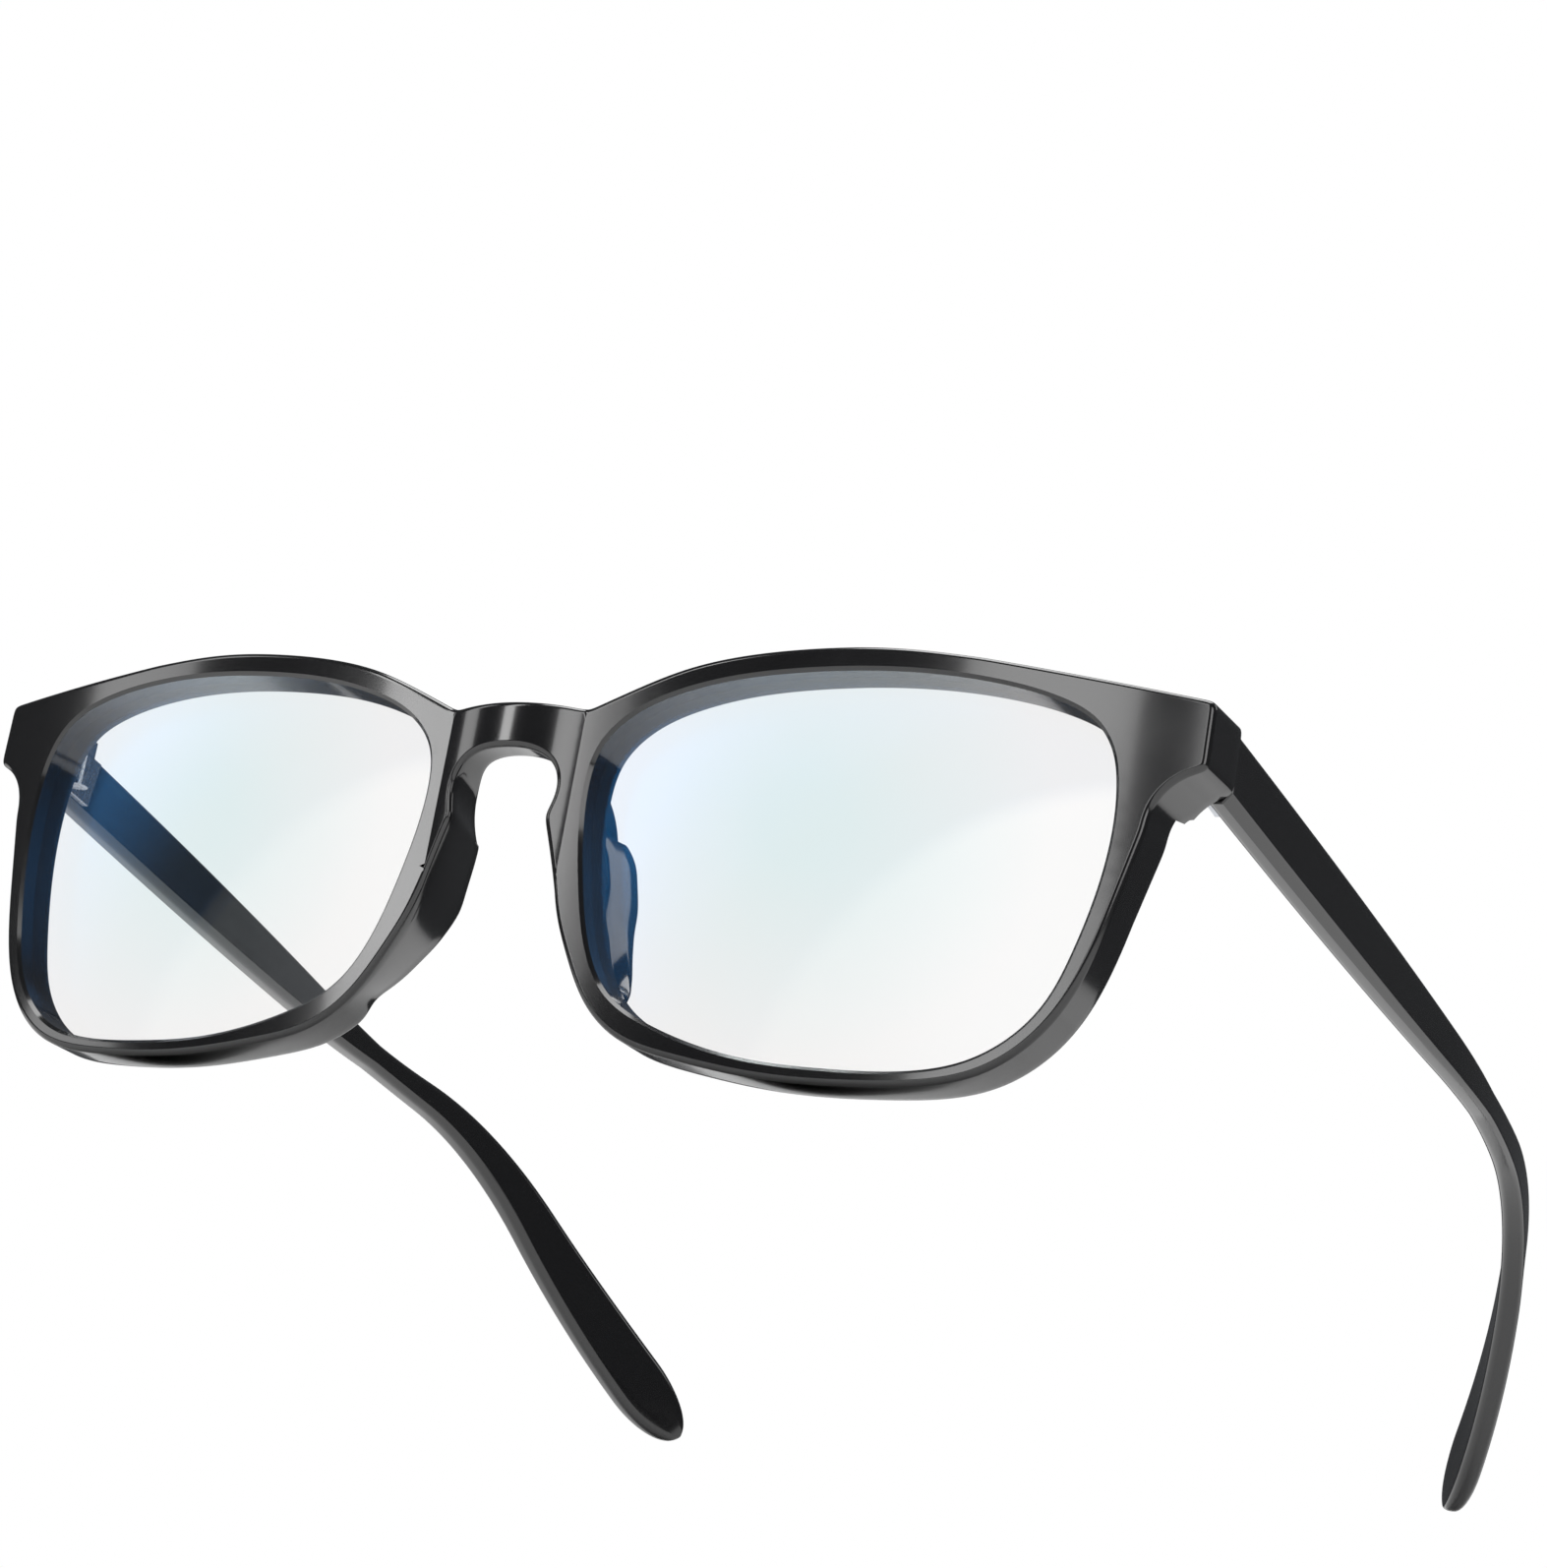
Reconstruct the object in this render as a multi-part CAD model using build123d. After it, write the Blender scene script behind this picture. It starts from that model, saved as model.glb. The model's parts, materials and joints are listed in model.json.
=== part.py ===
from build123d import *

import os
from math import atan2, cos, degrees, radians, sin, sqrt

# Blue light glasses: a glossy keyhole-bridge front, two clear lenses and two folding temples.
# The pieces are drawn in the front's own frame, in millimetres: X across the face, Y from the
# front face backwards, Z up, with Z = 0 at the middle of the lenses and Y = 0 on the face beside
# the bridge. Every piece is then tipped by the same angle, so that the rims and the two temple
# tips stand on one plane, Z = 0, and the middle of the whole box is at X = 0, Y = 0.

# overall sizes
frame_width = 140.0        # across the two endpieces
lens_width = 53.0          # one lens opening, across
lens_height = 39.3         # one lens opening, up
bridge_width = 18.4        # between the two lens openings
rim_width = 1.65           # rim below a lens, seen from the front
temple_length = 145.0      # hinge joint to tip, along the temple

# front plate
face_flat = 24.0           # width of the flat middle of the face
wrap_radius = 204.0        # the face curves back on this radius beside the flat
rim_depth = 5.2            # front face to back face
edge_inset = 0.55          # the endpiece's block inside the plate's outline

# bridge
bridge_half = 7.6          # half width of the bulge between its two upright creases
bridge_bulge = 1.4         # how far the middle stands in front of the face
bridge_back = 2.1          # depth of the middle's back surface
bridge_top = 15.5          # top edge in the middle
bridge_crease = 15.1       # top edge at the creases
keyhole_top = 10.8         # crown of the keyhole
keyhole_half = 5.95        # half width at its widest
keyhole_pinch = 5.3        # half width where the nose pads begin

# endpieces
corner_top = 18.95         # upper front corner
corner_bottom = 12.1       # lower front corner
endpiece_depth = 6.981     # from the face's outer corner back to the hinge joint
return_width = 4.1         # thickness of the part that turns back
joint_gap = 0.15           # between the endpiece and the open temple

# nose pads, moulded with the front: (height, inner x, edge x, depth), x measured from the lens opening
pad_sections = [
    (9.0, -3.4, -3.0, 5.0),
    (5.5, -3.9, -2.0, 8.2),
    (1.5, -3.2, -0.5, 10.9),
    (-3.0, -1.6, 0.6, 11.4),
    (-7.5, 0.4, 2.3, 9.9),
    (-11.5, 3.0, 4.6, 8.0),
    (-15.0, 6.6, 7.9, 5.6),
]
pad_base = 2.3             # thickness at the rim
pad_edge = 1.5             # thickness at the back edge

# lenses
lens_thickness = 2.0
lens_inset = 2.2           # front face to the lens's front surface
bevel_height = 0.5         # the lens's edge ridge, held in the rim's groove
bevel_width = 0.7
lens_fit = 0.02

# temples
temple_drop = 8.4          # slope below the square to the front, degrees
temple_splay = 2.6         # outward lean in plan, degrees
temple_thickness = 2.8
tip_thickness = 2.5
root_height = 6.9          # at the hinge
waist_height = 3.3         # at the slimmest place, before the ear
paddle_height = 7.8        # at the widest place of the tip
waist_at = 75.5            # distances from the joint, along the temple
ear_at = 87.5              # where the bend over the ear starts
ear_radius = 45.0
ear_turn = 33.0            # degrees
paddle_at = 136.5
waist_ease = 2.4           # above 1, the height stays longer near the hinge
tuck_at = 62.7             # where the temple starts to curve in towards the head
tuck_radius = 150.0
side_inset = 0.2           # the temple's outer face inside the endpiece's

# hinges
pivot_inset = 5.1          # outer face to the pivot
knuckle_radius = 1.3
hinge_height = 5.1
hinge_gap = 0.08           # between knuckles, along the pin
knuckle_clearance = 0.2    # round the turning knuckles
leaf_thickness = 1.0
leaf_start = 0.6           # from the pin to the plate
leaf_length = 5.0          # from the pin to the plate's far end
leaf_sunk = 0.4            # how deep a leaf sits in the plastic
screw_radius = 0.6
screw_clearance = 0.05
head_radius = 1.05
head_height = 0.5

half_width = frame_width / 2
half_a, half_b = lens_width / 2, lens_height / 2
flat_half = face_flat / 2
corner_depth = wrap_radius - sqrt(wrap_radius**2 - (half_width - flat_half) ** 2)
joint_depth = corner_depth + endpiece_depth
lens_x = bridge_width / 2 + half_a
far = 200.0                # longer than the whole object

# outlines, as shares of half sizes measured from the middle of a lens: (across, up)
opening_shape = [
    (0.11, 1.0), (-0.20, 0.977), (-0.48, 0.926), (-0.69, 0.85), (-0.875, 0.723), (-0.97, 0.57),
    (-0.998, 0.38), (-0.99, 0.18), (-0.943, -0.15), (-0.883, -0.422), (-0.76, -0.69), (-0.57, -0.84),
    (-0.16, -0.982), (0.14, -1.0), (0.426, -0.977), (0.623, -0.9), (0.853, -0.605), (0.925, -0.346),
    (0.992, 0.1), (0.993, 0.5), (0.962, 0.67), (0.895, 0.8), (0.76, 0.896), (0.54, 0.964),
]
brow_shape = [(-0.817, 0.817), (-0.636, 0.911), (-0.416, 0.979), (-0.167, 1.019), (0.117, 1.035), (0.437, 1.009)]
rim_shape = [
    (1.0515, 0.277), (1.002, -0.014), (0.941, -0.338), (0.838, -0.643), (0.643, -0.883), (0.298, -0.986),
    (-0.085, -0.993), (-0.433, -0.93), (-0.654, -0.845), (-0.796, -0.695), (-0.906, -0.465),
    (-0.977, -0.263), (-1.0124, -0.103),
]


def mirrored(points):
    return [(-x, y) for x, y in reversed(points)]


def opening_point(share, out=0.0):
    across, up = share
    normal = Vector(across / half_a, up / half_b).normalized()
    return (lens_x + across * half_a + out * normal.X, up * half_b + out * normal.Y)


def outer_point(share):
    return (lens_x + share[0] * (half_a + rim_width), share[1] * (half_b + rim_width))


def front_plane():
    return Plane(origin=(0, 0, 0), x_dir=(1, 0, 0), z_dir=(0, -1, 0))


def standing(face):
    """Run a face drawn across and up through the whole depth."""
    return extrude(front_plane() * face, amount=far, both=True)


def opening_face(out=0.0):
    points = [opening_point(share, out) for share in opening_shape]
    return make_face(Spline(*points, periodic=True))


def plan_point(x, depth):
    """Point at a depth behind the face, for x measured along the flat and round the wrap."""
    flat = face_flat / 2
    if x <= flat:
        return (x, depth)
    turn = (x - flat) / wrap_radius
    return (flat + (wrap_radius - depth) * sin(turn), wrap_radius - (wrap_radius - depth) * cos(turn))


def face_depth(x):
    """Y of the front face at a given X."""
    beyond = max(0.0, x - face_flat / 2)
    return wrap_radius - (wrap_radius**2 - beyond**2) ** 0.5


def shell(front, back):
    """Everything between two depths behind the face, following its wrap."""
    flat, end = face_flat / 2, half_width + 12
    middle = (flat + end) / 2
    edge = (
        Line(plan_point(0, front), plan_point(flat, front))
        + ThreePointArc(plan_point(flat, front), plan_point(middle, front), plan_point(end, front))
        + Line(plan_point(end, front), plan_point(end, back))
        + ThreePointArc(plan_point(end, back), plan_point(middle, back), plan_point(flat, back))
        + Line(plan_point(flat, back), plan_point(0, back))
        + Line(plan_point(0, back), plan_point(0, front))
    )
    return extrude(make_face(edge), amount=far, both=True)


def outline_face():
    """The front's whole outline: brows, endpieces, rims and the keyhole between the pads."""
    brow = [(bridge_half, bridge_crease)] + [outer_point(share) for share in brow_shape]
    rim = [outer_point(share) for share in rim_shape]
    corner = (half_width, corner_top)
    under = (half_width, corner_bottom)
    shoulder = (rim[0][0] + 0.3 * (half_width - rim[0][0]), corner_bottom - 2.1)
    pinch = (keyhole_pinch, keyhole_top - 6.9)
    keyhole = [pinch, (keyhole_half, keyhole_top - 3.6), (keyhole_half - 0.8, keyhole_top - 1.5),
               (keyhole_half / 2, keyhole_top - 0.3)]
    bridge = ThreePointArc((-bridge_half, bridge_crease), (0, bridge_top), (bridge_half, bridge_crease))
    edge = Spline(*mirrored(brow)) + bridge + Spline(*brow)
    edge += Polyline(brow[-1], corner, under) + ThreePointArc(under, shoulder, rim[0])
    edge += Spline(*rim, pinch) + Spline(*keyhole, (0, keyhole_top), *mirrored(keyhole))
    edge += Spline(*mirrored(rim + [pinch]))
    far_corner = mirrored([brow[-1], corner, under, shoulder, rim[0]])
    edge += ThreePointArc(*far_corner[:3]) + Polyline(*far_corner[2:])
    return make_face(edge)


def plate():
    """The front plate, wrapped, with the bridge bulging forward and hollow behind."""
    flat, end = face_flat / 2, half_width + 12
    middle = (flat + end) / 2
    hollow = bridge_half + 1.4
    front = [plan_point(flat, 0), plan_point(middle, 0), plan_point(end, 0)]
    back = [plan_point(end, rim_depth), plan_point(middle, rim_depth), plan_point(flat, rim_depth)]
    edge = ThreePointArc((-bridge_half, 0), (0, -bridge_bulge), (bridge_half, 0))
    edge += Line((bridge_half, 0), front[0]) + ThreePointArc(*front) + Line(front[2], back[0])
    edge += ThreePointArc(*back) + Line(back[2], (hollow, rim_depth))
    edge += ThreePointArc((hollow, rim_depth), (0, bridge_back), (-hollow, rim_depth))
    front, back = mirrored(front), mirrored(back)
    edge += Line((-hollow, rim_depth), back[0]) + ThreePointArc(*back) + Line(back[2], front[0])
    edge += ThreePointArc(*front) + Line(front[2], (-bridge_half, 0))
    return standing(outline_face()) & extrude(make_face(edge), amount=far, both=True)


def endpiece():
    """The block that turns back from the face's corner to the hinge joint."""
    inner = half_width - return_width
    start = face_depth(inner) + edge_inset
    outline = Polyline(
        (inner, start), (half_width, face_depth(half_width) + edge_inset), (half_width, joint_depth),
        (inner, joint_depth), (inner, start),
    )
    floor = corner_bottom + edge_inset / 2
    height = corner_top - corner_bottom - edge_inset
    return extrude(Plane.XY.offset(floor) * make_face(outline), amount=height)


def nose_pad():
    """One moulded pad: a tongue that runs back from the rim and leans outwards."""
    sections = []
    start = bridge_width / 2
    for height, inner, edge, depth in pad_sections:
        root = (start + inner, 1.2)
        back = (start + edge, depth)
        lean = Vector(back[0] - root[0], back[1] - root[1]).normalized()
        side = Vector(lean.Y, -lean.X)
        outline = Polyline(
            root, (back[0] - 0.2 * lean.X, back[1] - 0.2 * lean.Y),
            (back[0] + pad_edge * side.X, back[1] + pad_edge * side.Y),
            (root[0] + pad_base * side.X, root[1] + pad_base * side.Y), root,
        )
        sections.append(Plane.XY.offset(height) * make_face(outline))
    return loft(sections)


def lens():
    """One lens with the ridge round its edge that the rim's groove holds."""
    sheet = shell(lens_inset, lens_inset + lens_thickness) & standing(opening_face(-lens_fit))
    ridge_start = lens_inset + (lens_thickness - bevel_width) / 2
    ridge = shell(ridge_start, ridge_start + bevel_width) & standing(opening_face(bevel_height))
    return sheet + ridge


def groove():
    start = lens_inset + (lens_thickness - bevel_width) / 2 - lens_fit
    return shell(start, start + bevel_width + 2 * lens_fit) & standing(opening_face(bevel_height + lens_fit))


def temple_place(along):
    """Middle of the temple at a distance from the joint, its direction and its slope in degrees."""
    splay = radians(temple_splay)
    bent = min(max(along - ear_at, 0.0), ear_radius * radians(ear_turn))
    slope = radians(temple_drop) + bent / ear_radius
    # the path down the side: straight, one arc over the ear, straight again
    straight = min(along, ear_at)
    y, z = straight * cos(radians(temple_drop)), -straight * sin(radians(temple_drop))
    if bent > 0:
        y += ear_radius * (sin(slope) - sin(radians(temple_drop)))
        z -= ear_radius * (cos(radians(temple_drop)) - cos(slope))
    rest = max(along - ear_at - bent, 0.0)
    y, z = y + rest * cos(slope), z - rest * sin(slope)
    # the path seen from above: a slight outward lean, then a curve towards the head
    tucked = max(along - tuck_at, 0.0)
    x = along * sin(splay) - tucked**2 / (2 * tuck_radius)
    turn = splay - tucked / tuck_radius
    start = half_width - side_inset - temple_thickness / 2
    middle = Vector(start + x, joint_depth + joint_gap + y, root_middle + z)
    direction = Vector(sin(turn), cos(turn) * cos(slope), -cos(turn) * sin(slope))
    return middle, direction


def temple_height(along):
    if along <= waist_at:
        share = along / waist_at
        return root_height + (waist_height - root_height) * share**waist_ease
    share = (along - waist_at) / (paddle_at - waist_at)
    if share <= 1:
        return waist_height + (paddle_height - waist_height) * share * share * (3 - 2 * share)
    end = (along - paddle_at) / (temple_length - paddle_at)
    return paddle_height * sqrt(max(1 - end * end, 0.0))


def temple():
    """The temple on the +X side, lofted through upright rounded sections along its path."""
    ends = temple_length - paddle_at
    stations = [-1.5, 12, 30, 50, 68, ear_at - 4, ear_at + 8, ear_at + 18, ear_at + 28, paddle_at - 10,
                paddle_at, paddle_at + 0.55 * ends, paddle_at + 0.84 * ends, paddle_at + 0.985 * ends]
    sections = []
    for along in stations:
        middle, direction = temple_place(max(along, 0.0))
        if along < 0:
            middle = middle + direction * along
        share = max(along, 0.0) / temple_length
        thickness = temple_thickness + (tip_thickness - temple_thickness) * share
        if along > paddle_at:
            thickness = thickness * (0.45 + 0.55 * temple_height(along) / paddle_height)
        height = temple_height(max(along, 0.0))
        section = RectangleRounded(thickness, height, min(thickness, height) * 0.3)
        sideways = Vector(0, 0, 1).cross(direction) * -1
        sections.append(Plane(origin=middle, x_dir=sideways, z_dir=direction) * section)
    body = loft(sections)
    return body & Pos(0, joint_depth + joint_gap + far / 2, 0) * Box(far, far, far)


def hinge_frame():
    """Frame at the pivot: Z up the pin, which is square to the joint, Y backwards."""
    origin = (half_width - pivot_inset, joint_depth + joint_gap / 2, root_middle)
    return Plane(origin=origin, x_dir=(1, 0, 0), z_dir=(0, 0, 1))


def pin_ring(radius, low, high):
    """A cylinder round the pin, in the hinge's own frame."""
    return Pos(0, 0, (low + high) / 2) * Cylinder(radius, high - low)


root_middle = corner_top - root_height / 2 - 0.7
knuckle = hinge_height / 3
low_knuckle = (-hinge_height / 2, -knuckle / 2 - hinge_gap / 2)
mid_knuckle = (-knuckle / 2 + hinge_gap / 2, knuckle / 2 - hinge_gap / 2)
top_knuckle = (knuckle / 2 + hinge_gap / 2, hinge_height / 2)
leaf_inner = pivot_inset - return_width - (leaf_thickness - leaf_sunk)


def leaf(way, inner, knuckles, others, slope=0.0):
    """One hinge leaf: a plate let into the plastic, with its own knuckles round the pin."""
    middle = (leaf_start + leaf_length) / 2
    plate_place = Rot(-slope, 0, 0) * Pos(inner + leaf_thickness / 2, way * middle, 0)
    body = plate_place * Box(leaf_thickness, leaf_length - leaf_start, hinge_height)
    for low, high in others:
        body = body - pin_ring(knuckle_radius + knuckle_clearance, low - hinge_gap, high + hinge_gap)
    for low, high in knuckles:
        web = Pos(inner / 2 + leaf_thickness / 4, way * knuckle_radius / 2, (low + high) / 2)
        body = body + web * Box(inner + leaf_thickness / 2, knuckle_radius, high - low)
        body = body + pin_ring(knuckle_radius, low, high)
    return body - pin_ring(screw_radius + screw_clearance, -hinge_height, hinge_height)


def front_leaf():
    return leaf(-1, leaf_inner, [low_knuckle, top_knuckle], [mid_knuckle])


def temple_leaf():
    inner = pivot_inset - side_inset - temple_thickness - (leaf_thickness - leaf_sunk)
    return leaf(1, inner, [mid_knuckle], [low_knuckle, top_knuckle], temple_drop)


def hinge_screw():
    shank = pin_ring(screw_radius, -hinge_height / 2, hinge_height / 2)
    head = pin_ring(head_radius, hinge_height / 2 + 0.02, hinge_height / 2 + head_height)
    neck = pin_ring(screw_radius, hinge_height / 2, hinge_height / 2 + 0.1)
    slot = Pos(0, 0, hinge_height / 2 + head_height) * Box(head_radius * 3, 0.3, 0.4)
    return shank + neck + head - slot


def both_sides(piece):
    return piece + mirror(piece, about=Plane.YZ)


def front():
    frame = hinge_frame()
    side = endpiece() + nose_pad()
    room = pin_ring(knuckle_radius + knuckle_clearance, -hinge_height / 2 - 0.3, hinge_height / 2 + 1.2)
    cuts = [standing(opening_face()), groove(), frame * room, frame * front_leaf()]
    body = plate() + both_sides(side)
    for cut in cuts:
        body = body - cut - mirror(cut, about=Plane.YZ)
    return body


print("drawing the front")
pieces = {"frame_front": front()}
print("drawing the temples, lenses and hinges")
frame = hinge_frame()
arm = temple() - frame * temple_leaf()
arm = arm - frame * pin_ring(knuckle_radius + knuckle_clearance, -hinge_height, hinge_height)
sides = {
    "lens": lens(),
    "temple": arm,
    "front_hinge_leaf": frame * front_leaf(),
    "temple_hinge_leaf": frame * temple_leaf(),
    "hinge_screw": frame * hinge_screw(),
}
for name, piece in sides.items():
    pieces["left_" + name] = piece
    pieces["right_" + name] = mirror(piece, about=Plane.YZ)

# tip the glasses until the rims and the temple tips stand on one plane
tip = temple_place(temple_length - 3)[0]
tip_low = pieces["left_temple"].bounding_box().min.Z
rim_low = pieces["frame_front"].bounding_box().min.Z
rest_pitch = degrees(atan2(rim_low - tip_low, tip.Y - rim_depth))
tipped = {name: Rot(rest_pitch, 0, 0) * piece for name, piece in pieces.items()}
box = Compound(children=[Pos(0, 0, 0) * p for p in tipped.values()]).bounding_box()
shift = Pos(-(box.min.X + box.max.X) / 2, -(box.min.Y + box.max.Y) / 2, -box.min.Z)

os.makedirs("parts", exist_ok=True)
for name, piece in tipped.items():
    export_step(shift * piece, f"parts/{name}.step")
pivot = shift * (Rot(rest_pitch, 0, 0) * Pos(*frame.origin))
axis = Vector(0, 0, 1).rotate(Axis.X, rest_pitch)
print("pitch", round(rest_pitch, 3), "pivot", pivot.position, "axis", axis)
print("box", box.size, "shift", shift.position)
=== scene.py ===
import json
import math

import bmesh
import bpy
import numpy as np
from mathutils import Matrix, Vector
from mathutils.geometry import delaunay_2d_cdt


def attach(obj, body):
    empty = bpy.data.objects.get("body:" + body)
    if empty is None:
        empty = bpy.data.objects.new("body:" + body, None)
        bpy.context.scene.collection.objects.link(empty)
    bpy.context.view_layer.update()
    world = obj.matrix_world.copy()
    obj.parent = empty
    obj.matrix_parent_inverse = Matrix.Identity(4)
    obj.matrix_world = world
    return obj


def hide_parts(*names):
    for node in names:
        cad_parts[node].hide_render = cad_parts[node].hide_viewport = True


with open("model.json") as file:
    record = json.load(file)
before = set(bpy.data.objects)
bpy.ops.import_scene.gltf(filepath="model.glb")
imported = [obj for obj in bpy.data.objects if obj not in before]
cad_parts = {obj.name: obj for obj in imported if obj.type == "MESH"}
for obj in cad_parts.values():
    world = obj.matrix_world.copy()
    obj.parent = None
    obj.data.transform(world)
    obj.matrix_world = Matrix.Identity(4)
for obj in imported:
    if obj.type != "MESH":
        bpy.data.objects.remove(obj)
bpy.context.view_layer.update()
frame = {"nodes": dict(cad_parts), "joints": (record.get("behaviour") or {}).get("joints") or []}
print("frame loaded")

# sizes in millimetres in the front's own frame: X across, Y back from the face, Z up
front = {
    "halfWidth": 69.98, "outerHalf": 70.0, "lensWidth": 53.0, "lensHeight": 39.3,
    "bridgeWidth": 18.4, "rimWidth": 1.65,
    "faceFlat": 12.0, "wrapRadius": 204.0, "depth": 5.2,
    "edgeRound": 0.6, "backRound": 0.6, "jointRound": 0.14, "bevel": 0.36, "backBevel": 0.3,
    "bridgeHalf": 7.6, "bridgeBulge": 1.4, "bridgeHollow": 9.0, "bridgeBack": 2.1,
    "bridgeTop": 15.5, "bridgeCrease": 15.1,
    "keyholeTop": 10.8, "keyholeHalf": 5.95, "keyholePinch": 5.3,
    "cornerTop": 18.93, "cornerBottom": 12.1, "returnWidth": 4.1, "shoulderDrop": 2.1,
    "spacing": 0.3, "grid": 0.9, "cornerPasses": 7,
    # pad sections: height, lean towards the lens, depth
    "pads": [(12.0, 0.0, 3.6), (9.0, 0.4, 5.0), (5.5, 1.9, 8.2), (1.5, 2.7, 10.9), (-3.0, 2.2, 11.4),
             (-7.5, 1.9, 9.9), (-11.5, 1.6, 8.0), (-15.0, 1.3, 5.6), (-17.0, 0.6, 5.2)],
    "padEdge": 1.5, "padBase": 2.6, "padReachX": 20.0, "padTop": 11.5,
    "padFadeTop": 10.6, "padFadeBottom": -16.5, "padFade": 3.0, "padPasses": 12,
    "creaseEnd": -3.0, "roundSteps": 7,
    # outlines, as shares of the half sizes from the middle of a lens
    "opening": [(0.11, 1.0), (-0.20, 0.977), (-0.48, 0.926), (-0.69, 0.85), (-0.875, 0.723), (-0.97, 0.57),
                (-0.998, 0.38), (-0.99, 0.18), (-0.943, -0.15), (-0.883, -0.422), (-0.76, -0.69),
                (-0.57, -0.84), (-0.16, -0.982), (0.14, -1.0), (0.426, -0.977), (0.623, -0.9),
                (0.853, -0.605), (0.925, -0.346), (0.992, 0.1), (0.993, 0.5), (0.962, 0.67),
                (0.895, 0.8), (0.76, 0.896), (0.54, 0.964)],
    "brow": [(-0.817, 0.817), (-0.636, 0.911), (-0.416, 0.979), (-0.167, 1.019), (0.117, 1.035),
             (0.437, 1.009)],
    "rim": [(1.0515, 0.277), (1.002, -0.014), (0.941, -0.338), (0.838, -0.643), (0.643, -0.883),
            (0.298, -0.986), (-0.085, -0.993), (-0.433, -0.93), (-0.654, -0.845), (-0.796, -0.695),
            (-0.906, -0.465), (-0.977, -0.263), (-1.0124, -0.103)],
}
temple = {
    "length": 145.0, "drop": 8.4, "splay": 2.6, "thickness": 2.8, "tipThickness": 2.5,
    "rootHeight": 6.9, "rootTop": 18.25, "waistHeight": 3.3, "paddleHeight": 7.8,
    "waistAt": 75.5, "waistEase": 2.4,
    "earAt": 87.5, "earRadius": 45.0, "earTurn": 33.0, "paddleAt": 136.5, "tuckAt": 62.7, "tuckRadius": 150.0,
    "sideInset": 0.21, "jointDepth": 15.4, "jointGap": 0.15,
    "ridge": 1.05, "ridgeEnd": 66.0, "topRound": 0.75, "innerRound": 1.0, "jointEdge": 0.12,
}
hinge = {"pivotInset": 5.1, "roomRadius": 1.5, "edgeBevel": 0.07}

halfA, halfB = front["lensWidth"] / 2, front["lensHeight"] / 2
lensX = front["bridgeWidth"] / 2 + halfA
rootMiddle = temple["rootTop"] - temple["rootHeight"] / 2

# the front's own frame stands in the model as the left hinge's pin says
pin = next(j for j in frame["joints"] if j["name"] == "left_temple_fold")
pitch = math.atan2(-pin["axis"][1], pin["axis"][2])
turn = Matrix.Rotation(pitch, 3, "X")
pivotY = temple["jointDepth"] + temple["jointGap"] / 2
pivot = Vector((front["outerHalf"] - hinge["pivotInset"], pivotY, rootMiddle))
moved = Vector(pin["pos_m"]) * 1000 - turn @ pivot
turnArray, movedArray = np.array(turn), np.array(moved)


def standInFrame(points):
    return (np.asarray(points) @ turnArray.T + movedArray) * 0.001


def curveThrough(points, spacing, closed=False):
    # a cubic spline through points, sampled evenly
    p = np.array(points, float)
    if closed:
        p = np.vstack([p, p[:1]])
    t = np.concatenate([[0], np.cumsum(np.linalg.norm(np.diff(p, axis=0), axis=1))])
    n, h = len(t) - 1, np.diff(t)
    a, b = np.zeros((n + 1, n + 1)), np.zeros((n + 1, p.shape[1]))
    for i in range(1, n):
        a[i, i - 1], a[i, i], a[i, i + 1] = h[i - 1], 2 * (h[i - 1] + h[i]), h[i]
        b[i] = 6 * ((p[i + 1] - p[i]) / h[i] - (p[i] - p[i - 1]) / h[i - 1])
    a[0, 0] = 1
    if closed:
        a[0, n] = -1
        a[n, n - 1], a[n, 0], a[n, 1] = h[n - 1], 2 * (h[n - 1] + h[0]), h[0]
        b[n] = 6 * ((p[1] - p[0]) / h[0] - (p[n] - p[n - 1]) / h[n - 1])
    else:
        a[n, n] = 1
    m = np.linalg.solve(a, b)
    u = np.linspace(0, t[-1], max(4, round(t[-1] / spacing)) + 1)
    k = np.clip(np.searchsorted(t, u, side="right") - 1, 0, n - 1)
    left, right, w = (u - t[k])[:, None], (t[k + 1] - u)[:, None], h[k][:, None]
    out = (m[k] * right**3 + m[k + 1] * left**3) / (6 * w)
    out += (p[k] / w - m[k] * w / 6) * right + (p[k + 1] / w - m[k + 1] * w / 6) * left
    return out[:-1] if closed else out


def arcThrough(a, b, c, spacing):
    a, b, c = (np.array(q, float) for q in (a, b, c))
    rows = 2 * np.array([b - a, c - a])
    centre = np.linalg.solve(rows, [b @ b - a @ a, c @ c - a @ a])
    radius = np.linalg.norm(a - centre)
    start, middle, end = (math.atan2(*(q - centre)[::-1]) for q in (a, b, c))
    sweep = (end - start) % math.tau
    if (middle - start) % math.tau > sweep:
        sweep -= math.tau
    angles = start + sweep * np.linspace(0, 1, max(3, round(radius * abs(sweep) / spacing)) + 1)
    return centre + radius * np.stack([np.cos(angles), np.sin(angles)], 1)


def evenly(points, spacing):
    p = np.array(points)
    t = np.concatenate([[0], np.cumsum(np.linalg.norm(np.diff(p, axis=0), axis=1))])
    u = np.linspace(0, t[-1], round(t[-1] / spacing) + 1)
    return np.stack([np.interp(u, t, p[:, 0]), np.interp(u, t, p[:, 1])], 1)


def sideNormals(loop):
    # unit directions from a loop into the plastic
    d = np.roll(loop, -1, 0) - np.roll(loop, 1, 0)
    n = np.stack([d[:, 1], -d[:, 0]], 1)
    return n / np.linalg.norm(n, axis=1)[:, None]


def outerPoint(share):
    return (lensX + share[0] * (halfA + front["rimWidth"]), share[1] * (halfB + front["rimWidth"]))


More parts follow.
